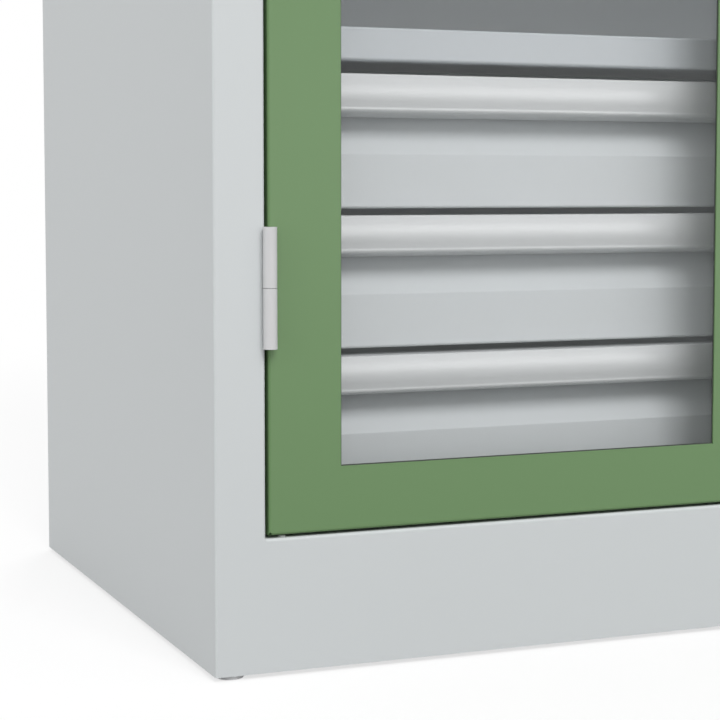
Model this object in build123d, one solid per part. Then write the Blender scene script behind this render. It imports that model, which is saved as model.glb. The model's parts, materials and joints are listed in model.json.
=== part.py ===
from build123d import *
import math
import os

# Millimetres. +Z is up, the doors face -Y, and the origin is on the floor under the middle of the cabinet.

# Carcass
WIDTH = 930.0
DEPTH = 500.0
HEIGHT = 1950.0
SHEET = 1.5
BEND = 2.0
GROUND_GAP = 3.0
STILE = 36.0
FRAME_RETURN = 40.0
FRAME_LIP = 15.0
PLINTH = 92.0
HEADER = 46.0
REAR_FLANGE = 18.0
EDGE_FLANGE = 20.0
ANCHOR_SPACING = 700.0
ANCHOR_DROP = 100.0
ANCHOR_RADIUS = 4.0

# Levelling feet
FOOT_RADIUS = 9.75
FOOT_DISC = 5.0
FOOT_INSET_X = 13.5
FOOT_INSET_Y = 12.0
STEM_RADIUS = 4.0
STEM_TOP = 34.0
THREAD_CLEARANCE = 0.05
GUSSET = 44.0
GUSSET_PLATE = 4.0
GUSSET_LIFT = 10.0
NUT_WIDTH = 13.0
NUT_HEIGHT = 6.5

# Shelves and their posts
POST_DEPTH = 15.0
POST_WIDTH = 30.0
POST_SETBACK = 76.0
POST_REAR_GAP = 40.0
SLOT_PITCH = 50.0
SLOT_WIDTH = 14.0
SLOT_HEIGHT = 5.0
SHELF_COUNT = 4
SHELF_STEP = 350.0
SHELF_SETBACK = 52.0
SHELF_LIP = 23.5
SHELF_RETURN = 20.0
SHELF_SIDE_GAP = 1.0
SHELF_REAR_GAP = 6.0
SHELF_OVER_DRAWERS = 9.5
CLIP_WIDTH = 10.0
CLIP_PLATE = 2.0
CLIP_LEDGE = 20.0
CLIP_DROP = 18.0
CLIP_TONGUE = 6.0

# Drawers
DRAWER_COUNT = 3
DRAWER_LIFT = 22.0
DRAWER_GAP = 5.0
DRAWER_SHEET = 1.2
FRONT_HEIGHT = 95.0
FRONT_SETBACK = 56.0
FRONT_SIDE_GAP = 2.5
FRONT_FOLD = 38.5
FRONT_LEAN = 17.5
FRONT_RETURN = 15.0
RECESS_TOP = 65.0
GRIP_REACH = 10.0
GRIP_BULGE = 2.2
GRIP_LAND = 4.0
GRIP_UNDERSIDE_DROP = 2.9
GRIP_LIP = 3.5
GRIP_WALL = 2.0
GRIP_EDGE = 1.0
GRIP_NOSE = 3.3
BOX_LIFT = 6.0
BOX_HEIGHT = 76.0
BOX_REAR_DROP = 14.0
RUNNER_LENGTH = 390.0
RUNNER_HEIGHT = 26.0
RUNNER_DEPTH = 8.5
RUNNER_SHEET = 1.2
RUNNER_CENTRE = 47.0
RUNNER_CLEARANCE = 0.4
RUNNER_SIDE_GAP = 1.0
CARRIER_OFFSET = 66.0
CARRIER_LIP = 15.0
CARRIER_TOP_GAP = 2.0

# Doors
DOOR_THICKNESS = 20.0
DOOR_SIDE_GAP = 2.25
DOOR_END_GAP = 2.1
DOOR_MEETING_GAP = 3.0
DOOR_LIP = 14.0
DOOR_HINGE_STILE = 52.3
DOOR_MEETING_STILE = 75.0
DOOR_RAIL = 44.6
RELIEF_RADIUS = 0.9
RELIEF_INSET = 1.15
PANE = 3.0
PANE_OVERLAP = 12.0
BEAD_WIDTH = 10.0
BEAD_OVERLAP = 8.0
BEAD_SHEET = 1.5
BEAD_SCREWS_TALL = 6
BEAD_SCREWS_WIDE = 3
SCREW_RADIUS = 1.5
SCREW_HEAD_RADIUS = 3.0
SCREW_HEAD = 1.8
SCREW_CLEARANCE = 0.1

# Barrel hinges
HINGE_COUNT = 3
HINGE_END = 167.7
KNUCKLE = 40.7
KNUCKLE_GAP = 0.3
KNUCKLE_RADIUS = 4.75
HINGE_GAP_SHARE = 2.0
PIN_RADIUS = 2.5
PIN_CLEARANCE = 0.05
HINGE_LEAF = 1.25
HINGE_LEAF_DEPTH = 16.0
BUTTON_RADIUS = 2.75
BUTTON_HEIGHT = 1.0
BUTTON_INSET = 49.5
BUTTON_SETBACK = 6.5

# Lock on the right door
LOCK_HEIGHT = 1050.0
LOCK_INSET = 28.0
ESCUTCHEON_WIDTH = 42.0
ESCUTCHEON_LENGTH = 130.0
ESCUTCHEON = 8.0
HANDLE_PROUD = 32.0
HANDLE_BAR = 14.0
HANDLE_BAR_WIDTH = 20.0
HANDLE_BAR_LENGTH = 100.0
HUB_RADIUS = 13.0
SPINDLE_RADIUS = 5.0
SPINDLE_CLEARANCE = 0.1
CYLINDER_RADIUS = 6.0
CYLINDER_DEPTH = 12.0
KEYWAY_WIDTH = 1.6
KEYWAY_LENGTH = 7.0
KEYWAY_DEPTH = 5.0
CAM_RADIUS = 18.0
CAM_PLATE = 3.0
CAM_STANDOFF = 5.0
CRANK = 12.0
CRANK_PIN_RADIUS = 2.5
YOKE_PLAY = 0.6
ROD_WIDTH = 12.0
ROD_PLATE = 3.0
ROD_STANDOFF = 1.0
ROD_END_BACK = 1.0
ROD_CLEARANCE = 1.0
GUIDE_WALL = 3.0
GUIDE_HEIGHT = 20.0
GUIDE_END = 150.0
MAGNET_WIDTH = 40.0
MAGNET_HEIGHT = 12.0
MAGNET_GAP = 0.3
MAGNET_INSET = 60.0

# Places that follow from the sizes
LEFT = -WIDTH / 2
FRONT = -(DEPTH - HANDLE_PROUD) / 2
BACK = FRONT + DEPTH
WALL_FACE = LEFT + SHEET
OPENING_LEFT = LEFT + STILE
OPENING_BOTTOM = GROUND_GAP + PLINTH
OPENING_TOP = HEIGHT - HEADER
REAR_FACE = BACK - 2 * SHEET
POST_FACE = WALL_FACE + POST_DEPTH
CARRIER_FACE = LEFT + CARRIER_OFFSET + SHEET
RUNNER_FACE = CARRIER_FACE + RUNNER_DEPTH
BOX_LEFT = RUNNER_FACE + RUNNER_SIDE_GAP
DRAWER_LEFT = CARRIER_FACE + FRONT_SIDE_GAP
DRAWER_PITCH = FRONT_HEIGHT + DRAWER_GAP
DRAWER_BOTTOMS = [OPENING_BOTTOM + DRAWER_LIFT + n * DRAWER_PITCH for n in range(DRAWER_COUNT)]
SHEET_BACK = FRONT + FRONT_SETBACK + FRONT_LEAN
BOX_FRONT = SHEET_BACK + DRAWER_SHEET
RUNNER_FRONT = BOX_FRONT + RUNNER_CLEARANCE
SHELF_BOTTOM = DRAWER_BOTTOMS[-1] + FRONT_HEIGHT + SHELF_OVER_DRAWERS
SHELF_BOTTOMS = [SHELF_BOTTOM + n * SHELF_STEP for n in range(SHELF_COUNT)]
SLOT_DROP = CLIP_DROP / 2
POST_TOP = OPENING_TOP
POST_FRONTS = [FRONT + POST_SETBACK, REAR_FACE - POST_REAR_GAP - POST_WIDTH]
DOOR_LEFT = OPENING_LEFT + DOOR_SIDE_GAP
DOOR_RIGHT = -DOOR_MEETING_GAP / 2
DOOR_BOTTOM = OPENING_BOTTOM + DOOR_END_GAP
DOOR_TOP = OPENING_TOP - DOOR_END_GAP
DOOR_FACE = FRONT + SHEET
DOOR_BACK = FRONT + DOOR_THICKNESS
WINDOW_X = (DOOR_LEFT + DOOR_HINGE_STILE, DOOR_RIGHT - DOOR_MEETING_STILE)
WINDOW_Z = (DOOR_BOTTOM + DOOR_RAIL, DOOR_TOP - DOOR_RAIL)
HINGE_X = OPENING_LEFT + HINGE_GAP_SHARE
HINGE_Y = FRONT - KNUCKLE_RADIUS
HINGE_LOW = DOOR_BOTTOM + HINGE_END
HINGE_STEP = (DOOR_TOP - DOOR_BOTTOM - 2 * HINGE_END) / (HINGE_COUNT - 1)
HINGE_MIDDLES = [HINGE_LOW + n * HINGE_STEP for n in range(HINGE_COUNT)]
LOCK_X = -DOOR_RIGHT + LOCK_INSET
CAM_FRONT = DOOR_FACE + CAM_STANDOFF
ROD_FRONT = CAM_FRONT + CAM_PLATE + ROD_STANDOFF
ROD_BACK = ROD_FRONT + ROD_PLATE


def block(x, y, z):
    """A box between a pair of limits along each axis."""
    size = Box(x[1] - x[0], y[1] - y[0], z[1] - z[0])
    return Pos((x[0] + x[1]) / 2, (y[0] + y[1]) / 2, (z[0] + z[1]) / 2) * size


def along_x(face, x0, x1):
    """A section drawn with Y to the right and Z up, drawn out along X."""
    return Pos(x0, 0, 0) * extrude(Plane.YZ * face, amount=x1 - x0)


def along_y(face, y0, y1):
    """A section drawn with X to the right and Z up, drawn out along Y."""
    return Pos(0, y1, 0) * extrude(Plane.XZ * face, amount=y1 - y0)


def along_z(face, z0, z1):
    """A section drawn in plan, drawn out upwards."""
    return Pos(0, 0, z0) * extrude(face, amount=z1 - z0)


def folded(points, thickness, side, bend=BEND):
    """Section of a sheet bent along its skin points, with its thickness on one side of them."""
    skin = FilletPolyline(*points, radius=bend)
    return make_face(offset(skin, amount=thickness, side=side))


def round_bar(radius, start, end, axis):
    """A cylinder between two points that lie along the named axis."""
    length = (Vector(*end) - Vector(*start)).length
    direction = {"y": Rot(-90, 0, 0), "z": Rot(0, 0, 0)}[axis]
    return Pos(*start) * direction * Cylinder(radius, length, align=(Align.CENTER, Align.CENTER, Align.MIN))


def mirrored(shape):
    """The right-hand twin of a left-hand shape."""
    return mirror(shape, about=Plane.YZ)


def group(solids):
    """Separate solids that share one node."""
    return Compound(children=list(solids))


def spread(start, end, count):
    """Evenly spaced values, half a step clear of both ends."""
    step = (end - start) / count
    return [start + step * (n + 0.5) for n in range(count)]


def side_panel():
    """Left side wall, folded round into the front stile and a flange at the rear."""
    skin = [
        (OPENING_LEFT - FRAME_LIP, FRONT + FRAME_RETURN),
        (OPENING_LEFT, FRONT + FRAME_RETURN),
        (OPENING_LEFT, FRONT),
        (LEFT, FRONT),
        (LEFT, BACK),
        (LEFT + REAR_FLANGE, BACK),
    ]
    panel = along_z(folded(skin, SHEET, Side.RIGHT), GROUND_GAP, HEIGHT - SHEET)
    for low, high in ((GROUND_GAP, OPENING_BOTTOM), (OPENING_TOP, HEIGHT - SHEET)):
        panel += block((OPENING_LEFT - BEND, OPENING_LEFT), (FRONT, FRONT + BEND), (low, high))
    return panel


def plinth():
    """Front plate under the doors, with its top folded back under them."""
    skin = [
        (FRONT, GROUND_GAP),
        (FRONT, OPENING_BOTTOM),
        (FRONT + FRAME_RETURN, OPENING_BOTTOM),
        (FRONT + FRAME_RETURN, OPENING_BOTTOM - FRAME_LIP),
    ]
    plate = along_x(folded(skin, SHEET, Side.RIGHT), OPENING_LEFT, -OPENING_LEFT)
    return plate - rod_keeper(LOCK_X - CRANK, OPENING_BOTTOM)


def header():
    """Front strip over the doors, with its foot folded back behind them."""
    skin = [
        (FRONT + FRAME_RETURN, OPENING_TOP + FRAME_LIP),
        (FRONT + FRAME_RETURN, OPENING_TOP),
        (FRONT, OPENING_TOP),
        (FRONT, HEIGHT - SHEET),
    ]
    strip = along_x(folded(skin, SHEET, Side.RIGHT), OPENING_LEFT, -OPENING_LEFT)
    return strip - rod_keeper(LOCK_X + CRANK, OPENING_TOP)


def rod_keeper(x, z):
    """Slot through a frame return that a lock rod enters."""
    half = ROD_WIDTH / 2 + ROD_CLEARANCE
    depth = (ROD_FRONT - ROD_CLEARANCE, ROD_BACK + ROD_CLEARANCE)
    return block((x - half, x + half), depth, (z - BEND, z + BEND))


def rear_panel():
    """Flat sheet inside the rear flanges, with two holes for wall anchors."""
    x = (LEFT + BEND, -LEFT - BEND)
    panel = block(x, (REAR_FACE, REAR_FACE + SHEET), (GROUND_GAP, HEIGHT - SHEET))
    z = HEIGHT - ANCHOR_DROP
    for x in (-ANCHOR_SPACING / 2, ANCHOR_SPACING / 2):
        panel -= round_bar(ANCHOR_RADIUS, (x, REAR_FACE - SHEET, z), (x, BACK, z), "y")
    return panel


def top_panel():
    """Cover over the whole carcass, with a flange down inside each side wall."""
    under = HEIGHT - SHEET
    cover = block((LEFT, -LEFT), (FRONT, BACK), (under, HEIGHT))
    cover = fillet(cover.edges().filter_by(Axis.Z), BEND)
    span = (FRONT + FRAME_RETURN, REAR_FACE)
    flange = block((WALL_FACE, WALL_FACE + SHEET), span, (under - EDGE_FLANGE, under))
    return cover + flange + mirrored(flange)


def base_panel():
    """Cabinet floor, level with the plinth's return, with a flange down inside each side wall."""
    under = OPENING_BOTTOM - SHEET
    span = (FRONT + FRAME_RETURN, REAR_FACE)
    floor = block((WALL_FACE, -WALL_FACE), span, (under, OPENING_BOTTOM))
    flange = block((WALL_FACE, WALL_FACE + SHEET), span, (under - EDGE_FLANGE, under))
    return floor + flange + mirrored(flange)


def foot_places():
    """Centres of the four levelling feet, by name."""
    x = LEFT + FOOT_INSET_X
    front, back = FRONT + FOOT_INSET_Y, BACK - SHEET - FOOT_INSET_Y
    return {
        "front_left": (x, front),
        "front_right": (-x, front),
        "rear_left": (x, back),
        "rear_right": (-x, back),
    }


def foot(x, y):
    """Levelling foot: a flat disc on a threaded stem."""
    disc = round_bar(FOOT_RADIUS, (x, y, 0), (x, y, FOOT_DISC), "z")
    disc = fillet(disc.edges().group_by(Axis.Z)[0], FOOT_DISC / 8)
    return disc + round_bar(STEM_RADIUS, (x, y, FOOT_DISC), (x, y, STEM_TOP), "z")


def foot_gussets():
    """Corner plates inside the carcass's lower edge that take the feet."""
    low = GROUND_GAP + GUSSET_LIFT
    high = low + GUSSET_PLATE
    front = block((WALL_FACE, OPENING_LEFT - SHEET), (FRONT + BEND, FRONT + FRAME_RETURN - BEND), (low, high))
    rear = block((WALL_FACE, WALL_FACE + GUSSET), (REAR_FACE - GUSSET, REAR_FACE), (low, high))
    plates = []
    for name, plate in (("front_left", front), ("rear_left", rear)):
        x, y = foot_places()[name]
        plate -= round_bar(STEM_RADIUS + THREAD_CLEARANCE, (x, y, low), (x, y, high), "z")
        plates += [plate, mirrored(plate)]
    return group(plates)


def foot_nuts():
    """Hexagon nuts on the gussets, one to a foot stem."""
    low = GROUND_GAP + GUSSET_LIFT + GUSSET_PLATE
    nuts = []
    for x, y in foot_places().values():
        face = RegularPolygon(NUT_WIDTH / 2, 6, major_radius=False) - Circle(STEM_RADIUS + THREAD_CLEARANCE)
        nuts.append(Pos(x, y, 0) * along_z(face, low, low + NUT_HEIGHT))
    return group(nuts)


def slot_heights():
    """Middles of the slots in a shelf post: one at every pitch up and down from the lowest shelf's clip."""
    first = SHELF_BOTTOM - SLOT_DROP
    down = int((first - OPENING_BOTTOM - SLOT_HEIGHT) // SLOT_PITCH)
    up = int((POST_TOP - first - SLOT_HEIGHT) // SLOT_PITCH)
    return [first + n * SLOT_PITCH for n in range(-down, up + 1)]


def shelf_posts():
    """Front and rear left posts: channels on the side wall with a row of slots for the shelf clips."""
    posts = []
    for y in POST_FRONTS:
        skin = [(WALL_FACE, y), (POST_FACE, y), (POST_FACE, y + POST_WIDTH), (WALL_FACE, y + POST_WIDTH)]
        post = along_z(folded(skin, SHEET, Side.LEFT), OPENING_BOTTOM, POST_TOP)
        middle = y + POST_WIDTH / 2
        web = (POST_FACE - 2 * SHEET, POST_FACE + SHEET)
        across = (middle - SLOT_WIDTH / 2, middle + SLOT_WIDTH / 2)
        slots = [block(web, across, (z - SLOT_HEIGHT / 2, z + SLOT_HEIGHT / 2)) for z in slot_heights()]
        posts.append(post - slots)
    return group(posts)


def shelf(bottom):
    """Shelf with its front and rear folded down and under, closed by a plate at each end."""
    front, back = FRONT + SHELF_SETBACK, REAR_FACE - SHELF_REAR_GAP
    top = bottom + SHELF_LIP
    end = POST_FACE + SHELF_SIDE_GAP
    skin = [
        (front + SHELF_RETURN, bottom),
        (front, bottom),
        (front, top),
        (back, top),
        (back, bottom),
        (back - SHELF_RETURN, bottom),
    ]
    tray = along_x(folded(skin, SHEET, Side.RIGHT), end, -end)
    plate = block((end, end + SHEET), (front + BEND, back - BEND), (bottom + SHEET, top - SHEET))
    foot_plate = block((end, end + SHEET), (front + BEND, back - BEND), (bottom, bottom + SHEET))
    side = plate + foot_plate
    return tray + side + mirrored(side)


def shelf_clips():
    """Ledges under the shelf ends, each hooked into a post's slot."""
    clips = []
    for bottom in SHELF_BOTTOMS:
        for y in POST_FRONTS:
            middle = y + POST_WIDTH / 2
            across = (middle - CLIP_WIDTH / 2, middle + CLIP_WIDTH / 2)
            slot = bottom - SLOT_DROP
            ledge = block((POST_FACE, POST_FACE + CLIP_LEDGE), across, (bottom - CLIP_PLATE, bottom))
            plate = block((POST_FACE, POST_FACE + CLIP_PLATE), across, (bottom - CLIP_DROP, bottom))
            half = CLIP_PLATE / 2
            tongue = block((POST_FACE - CLIP_TONGUE, POST_FACE), across, (slot - half, slot + half))
            clip = ledge + plate + tongue
            clips += [clip, mirrored(clip)]
    return group(clips)


def drawer_carrier():
    """Left stand-off sheet that carries the runners clear of an open door."""
    front = POST_FRONTS[0]
    back = POST_FRONTS[1] + POST_WIDTH
    skin = [
        (POST_FACE, front + CARRIER_LIP),
        (POST_FACE, front),
        (CARRIER_FACE, front),
        (CARRIER_FACE, back),
        (POST_FACE, back),
        (POST_FACE, back - CARRIER_LIP),
    ]
    top = SHELF_BOTTOM - CLIP_DROP - CARRIER_TOP_GAP
    return along_z(folded(skin, SHEET, Side.LEFT), OPENING_BOTTOM, top)


def fixed_runners():
    """Left-hand channels on the carrier, one to a drawer."""
    runners = []
    for bottom in DRAWER_BOTTOMS:
        low = bottom + RUNNER_CENTRE - RUNNER_HEIGHT / 2
        high = low + RUNNER_HEIGHT
        skin = [(RUNNER_FACE, low), (CARRIER_FACE, low), (CARRIER_FACE, high), (RUNNER_FACE, high)]
        face = folded(skin, RUNNER_SHEET, Side.RIGHT, bend=1.25 * RUNNER_SHEET)
        runners.append(along_y(face, RUNNER_FRONT, RUNNER_FRONT + RUNNER_LENGTH))
    return group(runners)


def drawer_runners(bottom):
    """Rails on both sides of a drawer that slide in the fixed channels."""
    half = RUNNER_HEIGHT / 2 - RUNNER_SHEET - RUNNER_CLEARANCE
    middle = bottom + RUNNER_CENTRE
    inner = CARRIER_FACE + RUNNER_SHEET + RUNNER_CLEARANCE
    rail = block((inner, BOX_LEFT), (BOX_FRONT, BOX_FRONT + RUNNER_LENGTH), (middle - half, middle + half))
    return group([rail, mirrored(rail)])


def drawer_box(bottom):
    """Open tray behind a drawer front, lower at the rear."""
    low, high = bottom + BOX_LIFT, bottom + BOX_LIFT + BOX_HEIGHT
    back = BOX_FRONT + RUNNER_LENGTH
    tray = block((BOX_LEFT, -BOX_LEFT), (BOX_FRONT, back), (low, high))
    inner = BOX_LEFT + DRAWER_SHEET
    across, along = (inner, -inner), (BOX_FRONT + DRAWER_SHEET, back - DRAWER_SHEET)
    tray -= block(across, along, (low + DRAWER_SHEET, high))
    return tray - block(across, (along[1], back), (high - BOX_REAR_DROP, high))


def drawer_front(bottom):
    """Folded drawer front: upright at its foot, leaning back into a recess, upright behind the grip."""
    face = FRONT + FRONT_SETBACK
    skin = [
        (face + FRONT_RETURN, bottom),
        (face, bottom),
        (face, bottom + FRONT_FOLD),
        (SHEET_BACK, bottom + RECESS_TOP),
        (SHEET_BACK, bottom + FRONT_HEIGHT - GRIP_WALL),
    ]
    return along_x(folded(skin, DRAWER_SHEET, Side.RIGHT), DRAWER_LEFT, -DRAWER_LEFT)


def drawer_grip(bottom):
    """Bulged hollow strip along the top of a drawer front, its underside sloping back into the recess."""
    nose = FRONT + FRONT_SETBACK - GRIP_REACH
    top = bottom + FRONT_HEIGHT
    edge = bottom + RECESS_TOP
    under = edge + GRIP_UNDERSIDE_DROP
    land = under + GRIP_LAND
    corner = nose + GRIP_BULGE
    heel = SHEET_BACK - GRIP_LIP
    start, end = (corner, land), (corner, top)
    outline = [
        Polyline(start, (corner, under), (heel, edge), (SHEET_BACK, edge + GRIP_LIP), (SHEET_BACK, top), end),
        ThreePointArc(end, (nose, (top + land) / 2), start),
    ]
    face = make_face(outline)
    skin = fillet(face.vertices().sort_by_distance(end)[0], GRIP_EDGE)
    skin = fillet(skin.vertices().sort_by_distance((corner, under))[0], GRIP_NOSE)
    hollow = offset(face, amount=-GRIP_WALL, kind=Kind.INTERSECTION)
    return along_x(skin - hollow, DRAWER_LEFT, -DRAWER_LEFT)


def door_leaf():
    """Left door: a pan folded from one sheet, with a window and relief holes at its corners."""
    x, z = (DOOR_LEFT, DOOR_RIGHT), (DOOR_BOTTOM, DOOR_TOP)
    leaf = block(x, (FRONT, DOOR_BACK), z)
    leaf = fillet(leaf.edges().group_by(Axis.Y)[0], BEND)
    leaf -= inset(x, (DOOR_FACE, DOOR_BACK - SHEET), z, SHEET)
    leaf -= inset(x, (DOOR_FACE, DOOR_BACK), z, DOOR_LIP)
    leaf -= block(WINDOW_X, (FRONT, DOOR_FACE), WINDOW_Z)
    for hole_x in (x[0] + RELIEF_INSET, x[1] - RELIEF_INSET):
        for hole_z in (z[0] + RELIEF_INSET, z[1] - RELIEF_INSET):
            start, end = (hole_x, FRONT, hole_z), (hole_x, DOOR_FACE + BEND, hole_z)
            leaf -= round_bar(RELIEF_RADIUS, start, end, "y")
    return leaf


def inset(x, y, z, margin):
    """A box drawn in by a margin along X and Z."""
    return block((x[0] + margin, x[1] - margin), y, (z[0] + margin, z[1] - margin))


def lock_door_leaf():
    """Right door: the left one's twin, with a spindle hole and a way out for each lock rod."""
    leaf = mirrored(door_leaf())
    bore = SPINDLE_RADIUS + SPINDLE_CLEARANCE
    leaf -= round_bar(bore, (LOCK_X, FRONT, LOCK_HEIGHT), (LOCK_X, DOOR_FACE, LOCK_HEIGHT), "y")
    half = ROD_WIDTH / 2 + ROD_CLEARANCE
    depth = (ROD_FRONT - ROD_CLEARANCE, ROD_BACK + ROD_CLEARANCE)
    for x, low in ((LOCK_X + CRANK, DOOR_TOP - SHEET), (LOCK_X - CRANK, DOOR_BOTTOM)):
        leaf -= block((x - half, x + half), depth, (low, low + SHEET))
    return leaf


def window_pane():
    """Clear sheet behind the left door's window."""
    return inset(WINDOW_X, (DOOR_FACE, DOOR_FACE + PANE), WINDOW_Z, -PANE_OVERLAP)


def pane_frame():
    """Limits of the pane's edge along X and Z."""
    x = (WINDOW_X[0] - PANE_OVERLAP, WINDOW_X[1] + PANE_OVERLAP)
    return x, (WINDOW_Z[0] - PANE_OVERLAP, WINDOW_Z[1] + PANE_OVERLAP)


def bead_screw_places():
    """Screw centres along the four glazing beads of the left door."""
    x, z = pane_frame()
    half = BEAD_WIDTH / 2
    tall = [(edge, v) for edge in (x[0] - half, x[1] + half) for v in spread(*z, BEAD_SCREWS_TALL)]
    wide = [(u, edge) for edge in (z[0] - half, z[1] + half) for u in spread(*x, BEAD_SCREWS_WIDE)]
    return tall + wide


def glazing_beads():
    """Four rebated strips that hold the left pane against the door."""
    x, z = pane_frame()
    back = DOOR_FACE + PANE + BEAD_SHEET
    seat, cover = (DOOR_FACE, back), (DOOR_FACE + PANE, back)
    beads = []
    for edge, out in ((x[0], -1), (x[1], 1)):
        outer = sorted((edge, edge + out * BEAD_WIDTH))
        inner = sorted((edge, edge - out * BEAD_OVERLAP))
        beads.append(block(outer, seat, z) + block(inner, cover, z))
    wide = (x[0] - BEAD_WIDTH, x[1] + BEAD_WIDTH)
    clear = (x[0] + BEAD_OVERLAP, x[1] - BEAD_OVERLAP)
    for edge, out in ((z[0], -1), (z[1], 1)):
        outer = sorted((edge, edge + out * BEAD_WIDTH))
        inner = sorted((edge, edge - out * BEAD_OVERLAP))
        beads.append(block(wide, seat, outer) + block(clear, cover, inner))
    bore = SCREW_RADIUS + SCREW_CLEARANCE
    holes = [round_bar(bore, (u, DOOR_FACE, v), (u, back, v), "y") for u, v in bead_screw_places()]
    return group(bead - holes for bead in beads)


def bead_screws():
    """Pan-head screws through the glazing beads."""
    back = DOOR_FACE + PANE + BEAD_SHEET
    screws = []
    for u, v in bead_screw_places():
        shank = round_bar(SCREW_RADIUS, (u, DOOR_FACE, v), (u, back, v), "y")
        head = round_bar(SCREW_HEAD_RADIUS, (u, back, v), (u, back + SCREW_HEAD, v), "y")
        head = fillet(head.edges().group_by(Axis.Y)[-1], SCREW_HEAD / 2)
        screws.append(shank + head)
    return group(screws)


def knuckle(low, high, leaf_x):
    """A bored barrel with a leaf that reaches into the gap beside the door."""
    barrel = round_bar(KNUCKLE_RADIUS, (HINGE_X, HINGE_Y, low), (HINGE_X, HINGE_Y, high), "z")
    barrel += block(leaf_x, (HINGE_Y, FRONT + HINGE_LEAF_DEPTH), (low, high))
    bore = PIN_RADIUS + PIN_CLEARANCE
    return barrel - round_bar(bore, (HINGE_X, HINGE_Y, low), (HINGE_X, HINGE_Y, high), "z")


def frame_knuckles():
    """Lower knuckles, on the left stile."""
    leaf = (OPENING_LEFT, OPENING_LEFT + HINGE_LEAF)
    half = KNUCKLE_GAP / 2
    return group(knuckle(z - half - KNUCKLE, z - half, leaf) for z in HINGE_MIDDLES)


def door_knuckles():
    """Upper knuckles, on the left door's edge."""
    leaf = (DOOR_LEFT - HINGE_LEAF, DOOR_LEFT)
    half = KNUCKLE_GAP / 2
    return group(knuckle(z + half, z + half + KNUCKLE, leaf) for z in HINGE_MIDDLES)


def hinge_pins():
    """Pins that stand in the frame knuckles and turn in the door knuckles."""
    reach = KNUCKLE + KNUCKLE_GAP / 2
    places = [(HINGE_X, HINGE_Y, z) for z in HINGE_MIDDLES]
    return group(round_bar(PIN_RADIUS, (x, y, z - reach), (x, y, z + reach), "z") for x, y, z in places)


def rest_buttons():
    """Low discs on the plinth's return, one under the hinge side of each door."""
    x, y = LEFT + BUTTON_INSET, FRONT + BUTTON_SETBACK
    top = OPENING_BOTTOM + BUTTON_HEIGHT
    button = round_bar(BUTTON_RADIUS, (x, y, OPENING_BOTTOM), (x, y, top), "z")
    button = fillet(button.edges().group_by(Axis.Z)[-1], BUTTON_HEIGHT / 2)
    return group([button, mirrored(button)])


def magnetic_catches():
    """Blocks on the frame's returns that hold the left door shut, above and below."""
    x = (DOOR_RIGHT - MAGNET_INSET - MAGNET_WIDTH, DOOR_RIGHT - MAGNET_INSET)
    y = (DOOR_BACK + MAGNET_GAP, FRONT + FRAME_RETURN - BEND)
    low = block(x, y, (OPENING_BOTTOM, OPENING_BOTTOM + MAGNET_HEIGHT))
    return group([low, block(x, y, (OPENING_TOP - MAGNET_HEIGHT, OPENING_TOP))])


def lock_escutcheon():
    """Raised plate on the right door that carries the handle."""
    x = (LOCK_X - ESCUTCHEON_WIDTH / 2, LOCK_X + ESCUTCHEON_WIDTH / 2)
    z = (LOCK_HEIGHT - ESCUTCHEON_LENGTH / 2, LOCK_HEIGHT + ESCUTCHEON_LENGTH / 2)
    plate = block(x, (FRONT - ESCUTCHEON, FRONT), z)
    plate = fillet(plate.edges().filter_by(Axis.Y), ESCUTCHEON_WIDTH / 4)
    plate = fillet(plate.edges().group_by(Axis.Y)[0], ESCUTCHEON / 4)
    start, end = (LOCK_X, FRONT - ESCUTCHEON, LOCK_HEIGHT), (LOCK_X, FRONT, LOCK_HEIGHT)
    return plate - round_bar(SPINDLE_RADIUS + SPINDLE_CLEARANCE, start, end, "y")


def lock_handle():
    """T-handle: a bar on a hub, with a spindle through the door and a bore for the key cylinder."""
    tip, neck = FRONT - HANDLE_PROUD, FRONT - HANDLE_PROUD + HANDLE_BAR
    foot_y = FRONT - ESCUTCHEON - SPINDLE_CLEARANCE
    half = HANDLE_BAR_LENGTH / 2
    bar_x = (LOCK_X - HANDLE_BAR_WIDTH / 2, LOCK_X + HANDLE_BAR_WIDTH / 2)
    bar = block(bar_x, (tip, neck), (LOCK_HEIGHT - half, LOCK_HEIGHT + half))
    bar = fillet(bar.edges().filter_by(Axis.Y), HANDLE_BAR_WIDTH / 3)
    bar = fillet(bar.edges().group_by(Axis.Y)[0], HANDLE_BAR / 4)
    centre = [(LOCK_X, y, LOCK_HEIGHT) for y in (tip, neck, foot_y, CAM_FRONT + CAM_PLATE)]
    hub = round_bar(HUB_RADIUS, centre[1], centre[2], "y")
    spindle = round_bar(SPINDLE_RADIUS, centre[2], centre[3], "y")
    socket_end = (LOCK_X, tip + CYLINDER_DEPTH, LOCK_HEIGHT)
    socket = round_bar(CYLINDER_RADIUS + SPINDLE_CLEARANCE, centre[0], socket_end, "y")
    return bar + hub + spindle - socket


def lock_cylinder():
    """Key plug in the handle, with an upright keyway."""
    tip = FRONT - HANDLE_PROUD
    start, end = (LOCK_X, tip, LOCK_HEIGHT), (LOCK_X, tip + CYLINDER_DEPTH - SPINDLE_CLEARANCE, LOCK_HEIGHT)
    plug = round_bar(CYLINDER_RADIUS, start, end, "y")
    keyway_x = (LOCK_X - KEYWAY_WIDTH / 2, LOCK_X + KEYWAY_WIDTH / 2)
    keyway_z = (LOCK_HEIGHT - KEYWAY_LENGTH / 2, LOCK_HEIGHT + KEYWAY_LENGTH / 2)
    return plug - block(keyway_x, (tip, tip + KEYWAY_DEPTH), keyway_z)


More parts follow.
